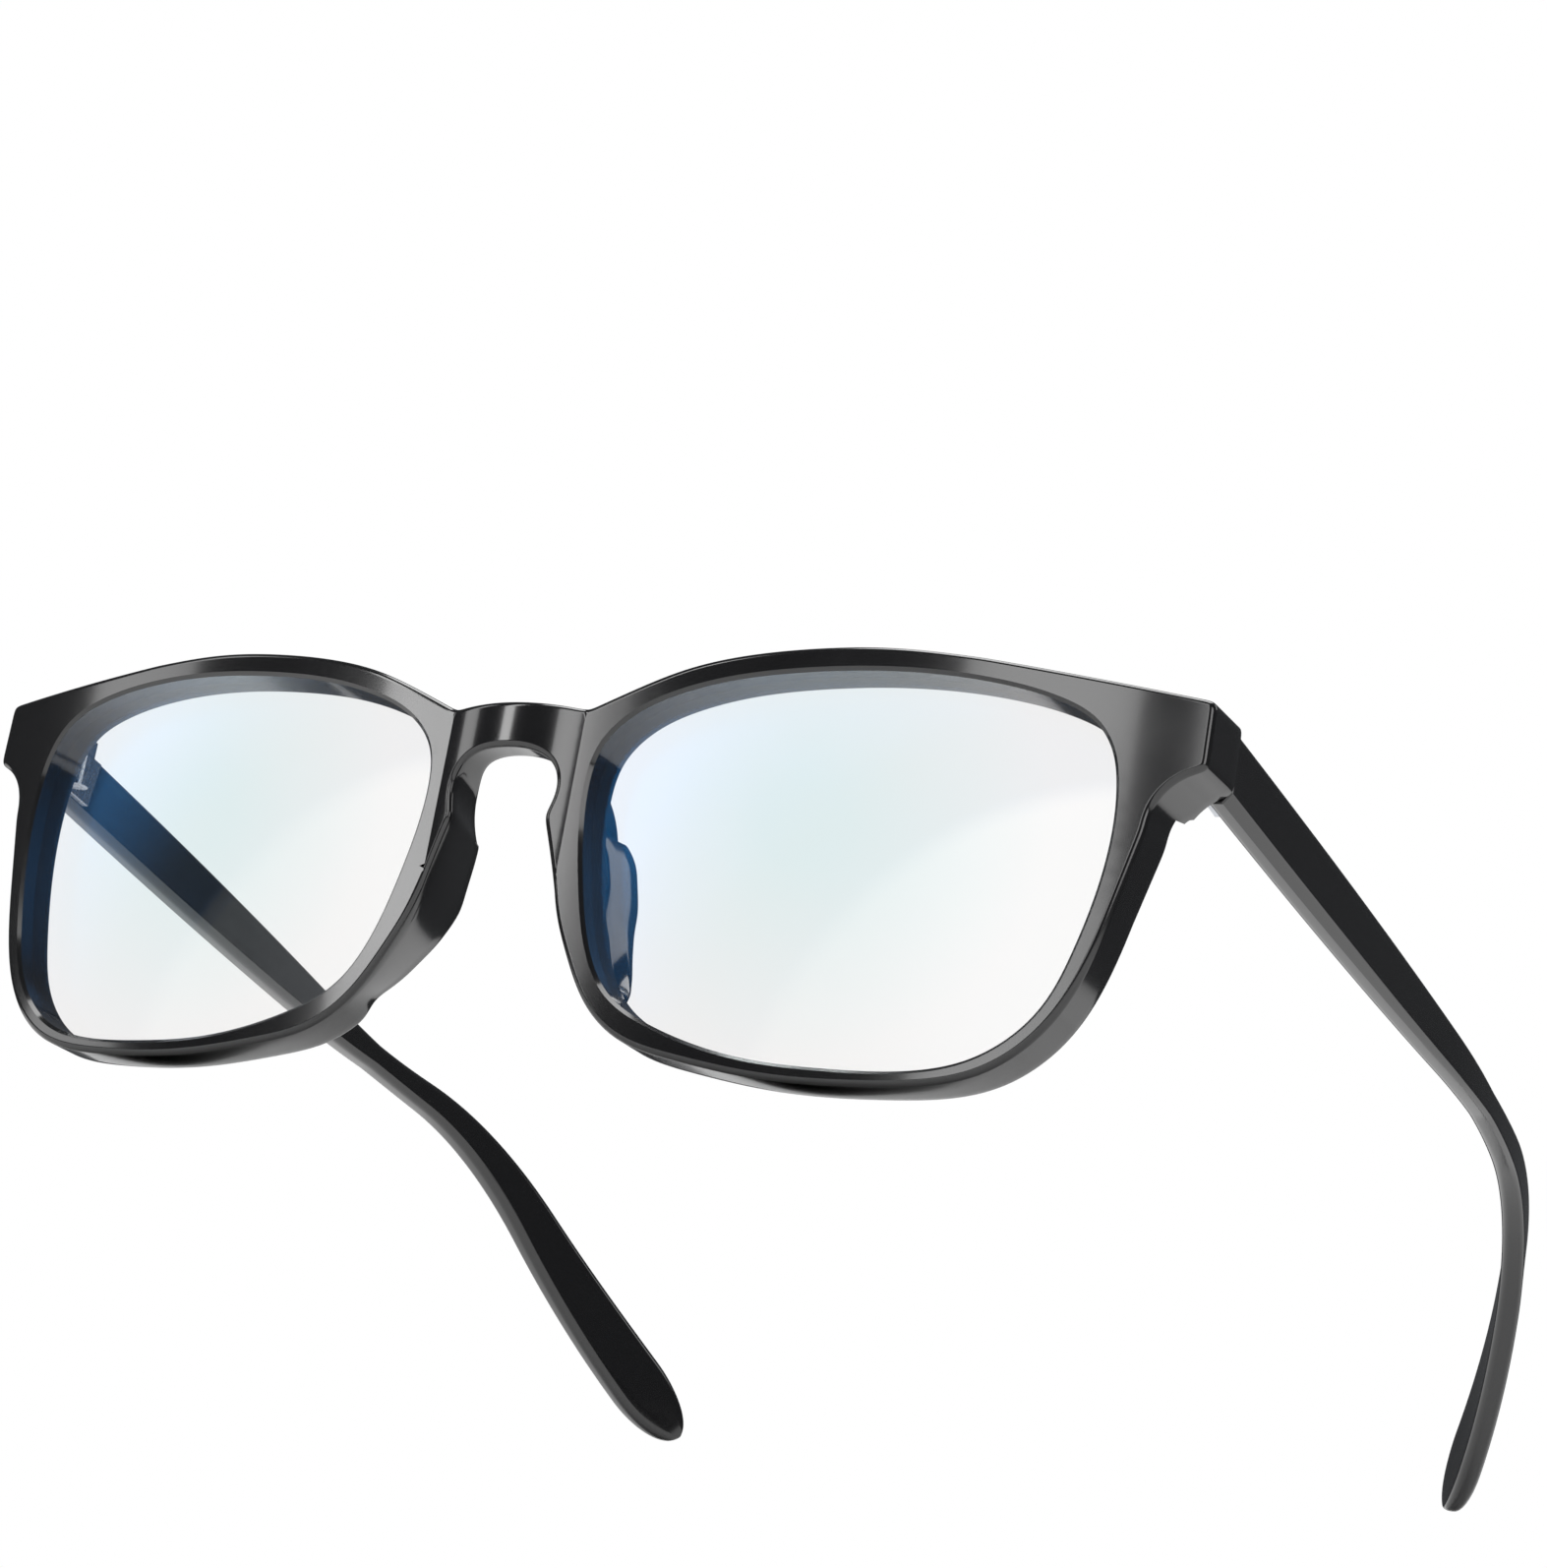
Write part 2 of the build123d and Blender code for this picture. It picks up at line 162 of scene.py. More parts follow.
def frontOutline():
    s, half = front["spacing"], front["bridgeHalf"]
    crease = (half, front["bridgeCrease"])
    rim = [outerPoint(q) for q in front["rim"]]
    corner, under = (front["halfWidth"], front["cornerTop"]), (front["halfWidth"], front["cornerBottom"])
    shoulderX = rim[0][0] + 0.3 * (front["halfWidth"] - rim[0][0])
    shoulder = (shoulderX, front["cornerBottom"] - front["shoulderDrop"])
    top, keyHalf = front["keyholeTop"], front["keyholeHalf"]
    pinch = (front["keyholePinch"], top - 6.9)
    key = [pinch, (keyHalf, top - 3.6), (keyHalf - 0.8, top - 1.5), (keyHalf / 2, top - 0.3), (0, top)]
    bridge = arcThrough((-half, front["bridgeCrease"]), (0, front["bridgeTop"]), crease, s)
    runs = [
        bridge[len(bridge) // 2:],
        curveThrough([crease] + [outerPoint(q) for q in front["brow"]], s),
        [corner, under],
        arcThrough(under, shoulder, rim[0], s),
        curveThrough(rim + [pinch], s),
        curveThrough(key + [(-x, z) for x, z in reversed(key[:-1])], s)[:-1],
    ]
    runs[-1] = runs[-1][: len(runs[-1]) // 2 + 1]
    half = evenly(np.vstack(runs), s)
    half[0, 0] = half[-1, 0] = 0
    loop = np.vstack([half, half[-2:0:-1] * [-1, 1]])
    for _ in range(front["cornerPasses"]):
        loop = (np.roll(loop, 1, 0) + 2 * loop + np.roll(loop, -1, 0)) / 4
    return loop


def openingLoop(side):
    points = [(lensX + x * halfA, z * halfB) for x, z in front["opening"]]
    loop = curveThrough(points, front["spacing"], closed=True)
    return loop if side > 0 else loop[::-1] * [-1, 1]


def wrapped(x, depth):
    beyond = np.maximum(np.abs(x) - front["faceFlat"], 0)
    return front["wrapRadius"] - np.sqrt((front["wrapRadius"] - depth) ** 2 - beyond**2)


def arch(x, half, rise):
    radius = (half**2 + rise**2) / (2 * rise)
    inside = np.minimum(np.abs(x), half)
    return np.sqrt(radius**2 - inside**2) - (radius - rise)


def faceY(x):
    return wrapped(x, 0) - arch(x, front["bridgeHalf"], front["bridgeBulge"])


def backY(x):
    a = np.abs(x)
    y = wrapped(x, front["depth"]) - arch(x, front["bridgeHollow"], front["depth"] - front["bridgeBack"])
    inner = front["outerHalf"] - front["returnWidth"]
    reach = np.clip(a - pivot.x, 0, hinge["roomRadius"])
    room = pivot.y - np.sqrt(hinge["roomRadius"] ** 2 - reach**2)
    joint = temple["jointDepth"]
    end = np.where(a < pivot.x + hinge["roomRadius"], np.minimum(room, joint), joint)
    return np.where(a > inner, end, y)


def faceNormal(x, away=0.0):
    # away nudges the place off a crease
    step = 0.02
    q = x + away
    slope = (faceY(q + step) - faceY(q - step)) / (2 * step)
    n = np.stack([slope, -np.ones_like(slope), np.zeros_like(slope)], -1)
    return n / np.linalg.norm(n, axis=-1)[..., None]


def inRegion(points, loops):
    inside = np.zeros(len(points), bool)
    for loop in loops:
        a, b = loop, np.roll(loop, -1, 0)
        for k in range(0, len(points), 2000):
            q = points[k:k + 2000]
            crosses = (a[:, 1] > q[:, None, 1]) != (b[:, 1] > q[:, None, 1])
            with np.errstate(divide="ignore", invalid="ignore"):
                at = (b[:, 0] - a[:, 0]) * (q[:, None, 1] - a[:, 1]) / (b[:, 1] - a[:, 1]) + a[:, 0]
            inside[k:k + 2000] ^= (crosses & (q[:, None, 0] < at)).sum(1) % 2 == 1
    return inside


def nearest(points, others):
    out = np.empty(len(points))
    for k in range(0, len(points), 1000):
        d = points[k:k + 1000, None] - others[None]
        out[k:k + 1000] = np.sqrt((d**2).sum(2).min(1))
    return out


class MeshMaker:
    # gathers rings and caps, then makes one mesh with exact normals where they are known
    def __init__(self):
        self.points, self.normals, self.faces, self.capSide, self.sharp = [], [], [], [], set()
        self.count = 0

    def ring(self, points, normals=None):
        points = np.asarray(points, float)
        start = self.count
        self.points.append(points)
        self.normals.append(np.full_like(points, np.nan) if normals is None else np.asarray(normals, float))
        self.count += len(points)
        return np.arange(start, self.count)

    def strip(self, a, b):
        a2, b2 = np.roll(a, -1), np.roll(b, -1)
        self.faces += [tuple(int(i) for i in q) for q in zip(a, a2, b2, b)]
        self.capSide += [0] * len(a)

    def keepSharp(self, ring):
        for i, j in zip(ring, np.roll(ring, -1)):
            self.sharp.add((min(i, j), max(i, j)))

    def cap(self, rings, surface, grid, side, creases=(), normal=None):
        # fills between flat loops with even triangles, then lays them on a surface y = surface(x)
        every = np.vstack(self.points)
        loops = [every[r][:, [0, 2]] for r in rings]
        edge = np.vstack(loops)
        low, high = edge.min(0), edge.max(0)
        xs, zs = (np.arange(low[i] + grid / 2, high[i], grid) for i in (0, 1))
        field = np.array([(x + (j % 2) * grid / 2, z) for j, z in enumerate(zs) for x in xs])
        field = field[inRegion(field, loops)]
        field = field[nearest(field, edge) > 0.55 * grid]
        lines = []
        for line in creases:
            field = field[nearest(field, line[1:-1]) > 0.5 * grid]
            lines.append(line[1:-1])
        inner = np.vstack([field] + lines)
        flat = np.vstack([edge, inner])
        edges, at = [], 0
        for r in rings:
            edges += [(at + i, at + (i + 1) % len(r)) for i in range(len(r))]
            at += len(r)
        at = len(edge) + len(field)
        for line in creases:
            n = len(line) - 2
            ends = [int(np.argmin(((edge - q) ** 2).sum(1))) for q in (line[0], line[-1])]
            chain = [ends[0]] + list(range(at, at + n)) + [ends[1]]
            edges += list(zip(chain, chain[1:]))
            at += n
        made = delaunay_2d_cdt([Vector(q) for q in flat], edges, [], 0, 1e-7)
        newIndex = self.ring(np.stack([inner[:, 0], surface(inner[:, 0]), inner[:, 1]], 1),
                             None if normal is None else normal(inner[:, 0]))
        whole = np.concatenate([np.concatenate(rings), newIndex])
        names = [whole[q[0]] if q else -1 for q in made[3]]
        spots = np.array([tuple(v) for v in made[0]])
        middles = np.array([spots[list(f)].mean(0) for f in made[2]])
        keep = inRegion(middles, loops)
        for f, ok in zip(made[2], keep):
            if ok:
                self.faces.append(tuple(int(names[i]) for i in f))
                self.capSide.append(side)

    def build(self, name, facing=None):
        points, normals = np.vstack(self.points), np.vstack(self.normals)
        mesh = bpy.data.meshes.new(name)
        mesh.from_pydata(standInFrame(points).tolist(), [], self.faces)
        mesh.validate()
        bm = bmesh.new()
        bm.from_mesh(mesh)
        bmesh.ops.recalc_face_normals(bm, faces=bm.faces)
        for e in bm.edges:
            i, j = e.verts[0].index, e.verts[1].index
            e.smooth = (min(i, j), max(i, j)) not in self.sharp
        bm.to_mesh(mesh)
        bm.free()
        mesh.shade_smooth()
        corner = np.empty(len(mesh.loops) * 3, np.float32)
        mesh.corner_normals.foreach_get("vector", corner)
        corner = corner.reshape(-1, 3)
        index = np.empty(len(mesh.loops), np.int32)
        mesh.loops.foreach_get("vertex_index", index)
        known = normals[index] @ turnArray.T
        have = ~np.isnan(known[:, 0])
        corner[have] = known[have]
        if facing:
            # faces of the front cap take their own side of a crease
            for poly in mesh.polygons:
                spot = points[list(poly.vertices)]
                if self.onFace(spot):
                    middle = spot[:, 0].mean()
                    away = np.sign(middle - spot[:, 0]) * 0.03
                    corner[list(poly.loop_indices)] = facing(spot[:, 0], away) @ turnArray.T
        mesh.normals_split_custom_set(corner.tolist())
        obj = bpy.data.objects.new(name, mesh)
        bpy.context.scene.collection.objects.link(obj)
        return obj

    def onFace(self, spot):
        near = np.abs(np.abs(spot[:, 0]) - front["bridgeHalf"]) < 1e-6
        return near.any() and np.allclose(spot[:, 1], faceY(spot[:, 0]), atol=1e-5)


def ringAt(flat, y):
    return np.stack([flat[:, 0], y, flat[:, 1]], 1)


def makeFront():
    maker = MeshMaker()
    loop = frontOutline()
    into = sideNormals(loop)
    outward = np.stack([-into[:, 0], np.zeros(len(into)), -into[:, 1]], 1)
    openings = {side: openingLoop(side) for side in (1, -1)}
    width = nearest(loop, np.vstack(list(openings.values())))
    r = front["edgeRound"]
    padTable = np.array(sorted(front["pads"]))
    z, x = loop[:, 1], np.abs(loop[:, 0])
    nose = (x < front["padReachX"]) & (z < front["padTop"]) & (z > padTable[0, 0])
    lean = np.where(nose, np.interp(z, padTable[:, 0], padTable[:, 1]), 0)
    reach = np.where(nose, np.interp(z, padTable[:, 0], padTable[:, 2]), 0)
    rising = np.clip((z - front["padFadeBottom"]) / front["padFade"], 0, 1)
    pad = np.where(nose, rising * np.clip((front["padFadeTop"] - z) / front["padFade"], 0, 1), 0)
    for _ in range(front["padPasses"]):
        lean, reach, pad = ((np.roll(v, 1) + 2 * v + np.roll(v, -1)) / 4 for v in (lean, reach, pad))
    pad = pad * pad * (3 - 2 * pad)
    steps = front["roundSteps"]
    rings = []
    for k in range(steps + 1):
        angle = math.pi / 2 * k / steps
        flat = loop + into * r * (1 - math.sin(angle))
        normal = math.cos(angle) * faceNormal(flat[:, 0]) + math.sin(angle) * outward
        rings.append(maker.ring(ringAt(flat, faceY(flat[:, 0]) + r * (1 - math.cos(angle))), normal))
    # the side wall, and the pad's nose face where there is one
    atEnd = np.clip((x - 63.5) / 1.5, 0, 1)
    plainRound = front["backRound"] + (front["jointRound"] - front["backRound"]) * atEnd
    padRound = front["padEdge"] / 2
    back = backY(loop[:, 0])
    padY = np.maximum(reach, back)
    wallTop = faceY(loop[:, 0]) + r
    wallEnd = (back - plainRound) * (1 - pad) + (padY - padRound) * pad
    for k in range(1, 7):
        share = k / 6
        flat = loop + into * (lean * pad * share**1.15)[:, None]
        rings.append(maker.ring(ringAt(flat, wallTop + (wallEnd - wallTop) * share)))
    for k in range(1, 7):
        angle = math.pi / 2 * k / 6
        plain = plainRound * (1 - math.cos(angle))
        inset = plain * (1 - pad) + (lean + padRound * (1 - math.cos(angle))) * pad
        flat = loop + into * inset[:, None]
        y = (backY(flat[:, 0]) - plainRound * (1 - math.sin(angle))) * (1 - pad)
        rings.append(maker.ring(ringAt(flat, y + (padY - padRound * (1 - math.sin(angle))) * pad)))
    # over the pad's edge and down its lens side; elsewhere a narrow run along the back
    for k in range(1, 11):
        plain = plainRound + 0.025 * k
        if k <= 5:
            angle = math.pi / 2 * k / 5
            inset = lean + padRound + padRound * math.sin(angle)
            y = padY - padRound * (1 - math.cos(angle))
        else:
            share = (k - 5) / 5
            startInset, startY = lean + 2 * padRound, padY - padRound
            endInset = np.minimum(np.maximum(front["padBase"], lean * 0.5 + 1.6), width - 0.5)
            inset = startInset + (endInset - startInset) * share
            y = startY + (back - startY) * share
        inset = plain * (1 - pad) + inset * pad
        if k == 10:
            inset = np.minimum(inset, width - 0.45)
        flat = loop + into * inset[:, None]
        plainY = backY(flat[:, 0])
        y = plainY if k == 10 else plainY * (1 - pad) + np.maximum(y, plainY) * pad
        rings.append(maker.ring(ringAt(flat, y)))
    for a, b in zip(rings, rings[1:]):
        maker.strip(a, b)
    fronts, backs = [rings[0]], [rings[-1]]
    for side, hole in openings.items():
        out = sideNormals(hole)
        b, c = front["bevel"], front["backBevel"]
        ins = [hole + out * b, hole, hole, hole, hole + out * c]
        face, rear = faceY(hole[:, 0]), backY(hole[:, 0])
        ys = [faceY(ins[0][:, 0]), face + b, face + 0.5 * front["depth"], rear - c, backY(ins[4][:, 0])]
        made = [maker.ring(ringAt(flat, y)) for flat, y in zip(ins, ys)]
        for p, q in zip(made, made[1:]):
            maker.strip(p, q)
        for k in (0, 1, 3, 4):
            maker.keepSharp(made[k])
        fronts.append(made[0])
        backs.append(made[-1])
    half = front["bridgeHalf"]
    line = [(half, h) for h in np.arange(front["bridgeCrease"] - r, front["creaseEnd"], -0.6)]
    creases = [np.array([(s * px, pz) for px, pz in line]) for s in (1, -1)]
    maker.cap(fronts, faceY, front["grid"], 1, creases, faceNormal)
    maker.cap(backs, backY, front["grid"], 2)
    obj = maker.build("front_frame", faceNormal)
    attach(obj, "front")
    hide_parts("frame_front")
    return obj


def templePlace(along):
    t = temple
    drop, splay = math.radians(t["drop"]), math.radians(t["splay"])
    bent = min(max(along - t["earAt"], 0), t["earRadius"] * math.radians(t["earTurn"]))
    slope = drop + bent / t["earRadius"]
    straight = min(along, t["earAt"])
    y, z = straight * math.cos(drop), -straight * math.sin(drop)
    y += t["earRadius"] * (math.sin(slope) - math.sin(drop))
    z -= t["earRadius"] * (math.cos(drop) - math.cos(slope))
    rest = max(along - t["earAt"] - bent, 0)
    y, z = y + rest * math.cos(slope), z - rest * math.sin(slope)
    tucked = max(along - t["tuckAt"], 0)
    x = along * math.sin(splay) - tucked**2 / (2 * t["tuckRadius"])
    lean = splay - tucked / t["tuckRadius"]
    start = front["outerHalf"] - t["sideInset"] - t["thickness"] / 2
    middle = Vector((start + x, t["jointDepth"] + t["jointGap"] + y, rootMiddle + z))
    direction = Vector((math.sin(lean), math.cos(lean) * math.cos(slope), -math.cos(lean) * math.sin(slope)))
    return middle, direction.normalized()


def templeHeight(along):
    t = temple
    if along <= t["waistAt"]:
        taper = (along / t["waistAt"]) ** t["waistEase"]
        return t["rootHeight"] + (t["waistHeight"] - t["rootHeight"]) * taper
    share = (along - t["waistAt"]) / (t["paddleAt"] - t["waistAt"])
    if share <= 1:
        return t["waistHeight"] + (t["paddleHeight"] - t["waistHeight"]) * share * share * (3 - 2 * share)
    end = (along - t["paddleAt"]) / (t["length"] - t["paddleAt"])
    return t["paddleHeight"] * math.sqrt(max(1 - end * end, 0))


def templeSection(thick, high, along):
    # outline of a cross-section, outer side at +u, with a ridge near the outer side's lower edge
    w, h = thick / 2, high / 2
    small = min(w, h)
    fade = max(0.0, 1 - along / temple["ridgeEnd"]) ** 0.6
    top, inner = min(temple["topRound"], 0.8 * small), min(temple["innerRound"], 0.85 * small)
    low = min(temple["ridge"] * (0.55 + 0.45 * fade), 0.8 * small)
    points = []

    def corner(cu, cv, radius, start):
        for k in range(9):
            a = math.radians(start - 90 * k / 8)
            points.append((cu + radius * math.cos(a), cv + radius * math.sin(a)))

    corner(w - top, h - top, top, 90)
    for k in range(1, 6):
        points.append((w, (h - top) + (-(h - low) - (h - top)) * k / 6))
    bevelPoints = [(w, -(h - low)), (w - 0.04, -(h - low) - 0.05 * low)]
    bevelPoints += [(w - 0.8 * low * k / 6, -(h - low) - low * k / 6) for k in (1, 2, 3, 4, 5)]
    bevelPoints += [(w - 0.8 * low - 0.03, -h), (w - 0.8 * low - 0.12, -h)]
    for k, (u, v) in enumerate(bevelPoints):
        a = math.radians(-90 * k / 8)
        roundU, roundV = w - low + low * math.cos(a), -(h - low) + low * math.sin(a)
        points.append((roundU + (u - roundU) * fade, roundV + (v - roundV) * fade))
    corner(-(w - inner), -(h - inner), inner, 270)
    for k in range(1, 6):
        points.append((-w, -(h - inner) + 2 * (h - inner) * k / 6))
    corner(-(w - inner), h - inner, inner, 180)
    return points


def makeTemple(side, word):
    maker = MeshMaker()
    t = temple
    stations = [0, 0, 1.3] + list(np.arange(2.4, t["paddleAt"], 1.2))
    tipLength = t["length"] - t["paddleAt"]
    stations += [t["paddleAt"] + tipLength * math.sin(math.pi / 2 * k / 22) for k in range(23)]
    stations[-1] = t["length"] - 0.003
    rings = []
    for n, along in enumerate(stations):
        middle, direction = templePlace(along)
        high = templeHeight(along)
        thick = t["thickness"] + (t["tipThickness"] - t["thickness"]) * along / t["length"]
        if along > t["paddleAt"]:
            thick *= 0.45 + 0.55 * high / t["paddleHeight"]
        sideways = -Vector((0, 0, 1)).cross(direction).normalized()
        up = sideways.cross(direction)
        cut = t["jointEdge"] if n == 0 else 0
        section = templeSection(thick - 2 * cut, high - 2 * cut, along)
        points = np.array([middle + sideways * u + up * v for u, v in section])
        if n < 2:
            plane = t["jointDepth"] + t["jointGap"] + (t["jointEdge"] if n else 0)
            points += np.outer((plane - points[:, 1]) / direction.y, direction)
        points[:, 0] *= side
        rings.append(maker.ring(points))
    for a, b in zip(rings, rings[1:]):
        maker.strip(a, b)
    for end in (rings[0], rings[-1]):
        maker.faces.append(tuple(int(i) for i in end))
    maker.keepSharp(rings[0])
    maker.keepSharp(rings[1])
    for a, b in zip(rings[:48], rings[1:48]):
        for column in (14, 21):
            maker.sharp.add((a[column], b[column]))
    obj = maker.build(word + "_temple_arm_shell")
    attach(obj, word + "_temple_arm")
    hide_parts(word + "_temple")
    return obj


lensPiece = {"inset": 2.2, "thickness": 2.0, "tuckedIn": 0.05, "grid": 1.5}


def makeLens(side, word):
    maker = MeshMaker()
    hole = openingLoop(side)
    flat = hole + sideNormals(hole) * lensPiece["tuckedIn"]

    def sheetY(depth):
        return lambda x: wrapped(x, depth)

    def sheetNormal(depth, sign):
        def normal(x):
            step = 0.02
            slope = (wrapped(x + step, depth) - wrapped(x - step, depth)) / (2 * step)
            n = np.stack([slope, -np.ones_like(slope), np.zeros_like(slope)], -1) * sign
            return n / np.linalg.norm(n, axis=-1)[..., None]
        return normal

    depths = [(lensPiece["inset"], 1), (lensPiece["inset"] + lensPiece["thickness"], -1)]
    rings = []
    for depth, sign in depths:
        ring = maker.ring(ringAt(flat, wrapped(flat[:, 0], depth)), sheetNormal(depth, sign)(flat[:, 0]))
        maker.cap([ring], sheetY(depth), lensPiece["grid"], 1, (), sheetNormal(depth, sign))
        rings.append(ring)
    maker.strip(*rings)
    obj = maker.build(word + "_clear_lens")
    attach(obj, "front")
    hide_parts(word + "_lens")
    return obj


print("making the front")
frontPiece = makeFront()
print("making the temples and lenses")
temples = [makeTemple(1, "left"), makeTemple(-1, "right")]
lenses = [makeLens(1, "left"), makeLens(-1, "right")]


class Socket:
    # a shader value: sums and products of it add Math nodes
    def __init__(self, tree, link):
        self.tree, self.link = tree, link

    def math(self, operation, *others):
        node = self.tree.nodes.new("ShaderNodeMath")
        node.operation = operation
        for i, value in enumerate((self,) + others):
            put(self.tree, node.inputs[i], value)
        return Socket(self.tree, node.outputs[0])

    def __add__(self, other):
        return self.math("ADD", other)

    def __radd__(self, other):
        return self.math("ADD", other)

    def __sub__(self, other):
        return self.math("SUBTRACT", other)

    def __rsub__(self, other):
        node = self.tree.nodes.new("ShaderNodeMath")
        node.operation = "SUBTRACT"
        node.inputs[0].default_value = other
        self.tree.links.new(self.link, node.inputs[1])
        return Socket(self.tree, node.outputs[0])

    def __mul__(self, other):
        return self.math("MULTIPLY", other)

    def __rmul__(self, other):
        return self.math("MULTIPLY", other)

    def __pow__(self, other):
        return self.math("POWER", other)


def put(tree, target, value):
    if isinstance(value, Socket):
        tree.links.new(value.link, target)
    else:
        target.default_value = value


class Finish:
    # the nodes of one procedural material, or of the world
    def __init__(self, owner, output="OutputMaterial"):
        owner.use_nodes = True
        self.owner, self.tree = owner, owner.node_tree
        self.tree.nodes.clear()
        self.output = self.tree.nodes.new("ShaderNode" + output)

    def node(self, kind, settings=None, values=None, result=0):
        node = self.tree.nodes.new("ShaderNode" + kind)
        for key, value in (settings or {}).items():
            setattr(node, key, value)
        for key, value in (values or {}).items():
            put(self.tree, node.inputs[key], value)
        return Socket(self.tree, node.outputs[result])

    def place(self):
        return self.node("TexCoord", result="Object")

    def noise(self, scale, detail=3.0, stretch=(1, 1, 1), roughness=0.5):
        place = self.node("Mapping", None, {"Vector": self.place(), "Scale": stretch})
        return self.node("TexNoise", None, {"Vector": place, "Scale": scale, "Detail": detail,
                                            "Roughness": roughness}, "Fac")

    def grey(self, value, low, high):
        return self.node("MapRange", None, {"Value": value, "From Min": low, "From Max": high}, "Result")

    def mix(self, factor, a, b):
        return self.node("Mix", {"data_type": "RGBA"}, {0: factor, 6: a, 7: b}, 2)

    def bump(self, height, strength, distance):
        values = {"Height": height, "Strength": strength, "Distance": distance}
        return self.node("Bump", None, values, "Normal")

    def surface(self, **values):
        return self.node("BsdfPrincipled", None, {k.replace("_", " "): v for k, v in values.items()}, "BSDF")

    def done(self, shader):
        self.tree.links.new(shader.link, self.output.inputs["Surface"])
        return self.owner


def dress(obj, material):
    obj.data.materials.clear()
    obj.data.materials.append(material)


plastic = {
    "deep": (0.0055, 0.0055, 0.006, 1), "worn": (0.016, 0.016, 0.017, 1),
    "gloss": 0.12, "coat": 0.8, "blurred": 0.07,
    # roughness added by clouds, by worn edges and by fine hairlines
    "cloudRough": 0.05, "wearRough": 0.05, "hairRough": 0.03,
    "bumpStrength": 0.03, "bumpDepth": 0.0003,
}


def blackPlastic(name, stretch):
    f = Finish(bpy.data.materials.new(name))
    cloud = f.noise(90, 4, stretch)
    grain = f.noise(1400, 3, stretch)
    hairs = f.noise(500, 2, (1, 14, 1))
    edge = f.grey(f.node("NewGeometry", result="Pointiness"), 0.53, 0.62)
    wear = edge * f.grey(f.noise(700, 4), 0.45, 0.75)
    colour = f.mix(wear * 0.5 + f.grey(cloud, 0.55, 0.85) * 0.25, plastic["deep"], plastic["worn"])
    roughness = plastic["gloss"] + plastic["cloudRough"] * f.grey(cloud, 0.4, 0.8)
    roughness += plastic["wearRough"] * wear + plastic["hairRough"] * f.grey(hairs, 0.62, 0.8)
    height = 0.5 * f.noise(120, 2, stretch) + 0.01 * grain
    return f.done(f.surface(**{
        "Base_Color": colour, "Roughness": roughness,
        "Normal": f.bump(height, plastic["bumpStrength"], plastic["bumpDepth"]),
        "Coat_Weight": plastic["coat"], "Coat_Roughness": plastic["blurred"], "IOR": 1.5,
    }))


hingeMetal = {"colour": (0.66, 0.68, 0.72, 1), "dull": (0.42, 0.43, 0.46, 1), "screw": (0.5, 0.5, 0.5, 1)}


def platedMetal(name, stretch, dull):
    f = Finish(bpy.data.materials.new(name))
    brushed = f.noise(900, 3, stretch)
    patch = f.noise(600, 4)
    colour = f.mix(f.grey(patch, 0.4, 0.75), hingeMetal["colour"], dull)
    roughness = 0.16 + 0.16 * f.grey(brushed, 0.3, 0.8) + 0.12 * f.grey(patch, 0.5, 0.8)
    return f.done(f.surface(**{
        "Base_Color": colour, "Metallic": 1.0, "Roughness": roughness,
        "Normal": f.bump(brushed, 0.12, 0.00006),
    }))


lensCoat = {
    # blue and grey colour the coat's painted reflection; clear and tinted are the glass's own colours
    "blue": (0.03, 0.36, 0.95, 1), "grey": (0.62, 0.66, 0.70, 1),
    "clear": (0.93, 0.925, 0.92, 1), "tinted": (0.86, 0.915, 0.915, 1),
    # the arc where the painted reflections change: middle across and up, then radius, in millimetres from the
    # lens's middle
    "arc": (32.0, -27.0, 38.4), "arcSoft": 0.6, "paintedSheenStart": 46.0, "paintedSheenEnd": 62.0,
    # strengths of the painted blue sheen and of the painted grey reflection, then the coat's roughness
    "paintedSheen": 0.085, "paintedGreyReflection": 0.035, "blurred": 0.32,
    # the spot that is most tinted: middle across and up, then outer and inner radius
    "spot": (-4.0, 5.0, 24.0, 4.0),
}


